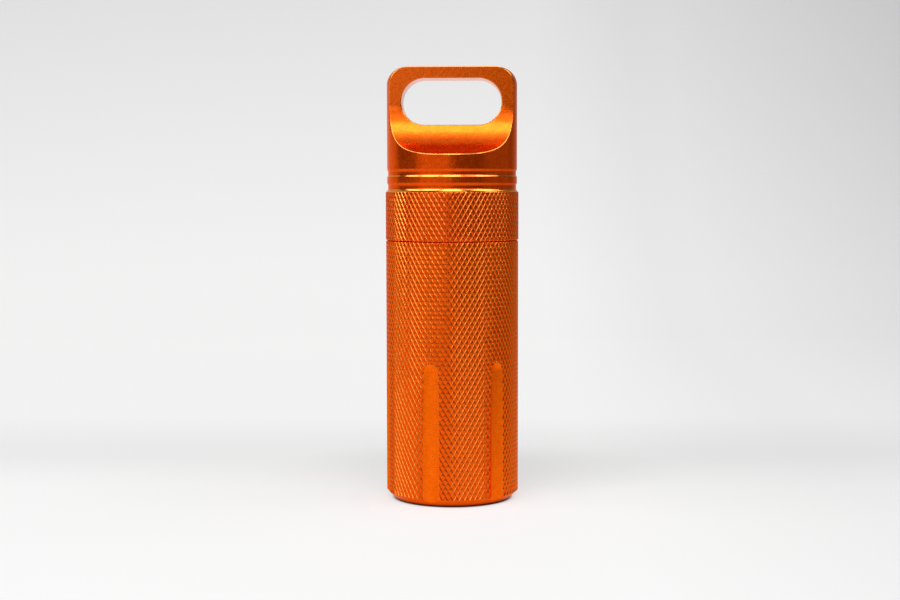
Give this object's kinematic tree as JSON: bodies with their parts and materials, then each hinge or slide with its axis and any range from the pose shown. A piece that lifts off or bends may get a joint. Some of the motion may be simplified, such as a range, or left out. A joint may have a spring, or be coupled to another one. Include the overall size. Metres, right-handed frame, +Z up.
{
  "type": "everyday carry canister",
  "caption": "Slim cylindrical metal capsule with a diamond-knurled grip, milled flutes and a screw cap that carries a slotted loop.",
  "frame": {"origin": "centre of the flat underside that the canister stands on", "axes": "+Z up the canister's axis towards the loop; with the cap screwed home, the loop's slot runs through along Y and -Y faces the viewer"},
  "size_m": [0.03, 0.03, 0.0976],
  "materials": {
    "anodised_body": "orange anodised, bead-blasted satin, knurled",
    "anodised_cap": "orange anodised, bead-blasted satin",
    "seal_rubber": "matt black nitrile"
  },
  "bodies": {
    "canister": {"canister_body": "anodised_body"},
    "seal": {"o_ring": "seal_rubber"},
    "cap": {"screw_cap": "anodised_cap"}
  },
  "joints": [
    {"name": "cap_rise", "type": "slide", "parent": "canister", "child": "seal", "axis": [0, 0, 1], "range_m": [0, 0.015]},
    {"name": "cap_turn", "type": "hinge", "parent": "seal", "child": "cap", "pos_m": [0, 0, 0.05885], "axis": [0, 0, 1], "range_deg": [0, 3600]}
  ],
  "couplings": [
    {"joint": "cap_rise", "follows": "cap_turn", "m_per_rad": 0.00023873}
  ]
}
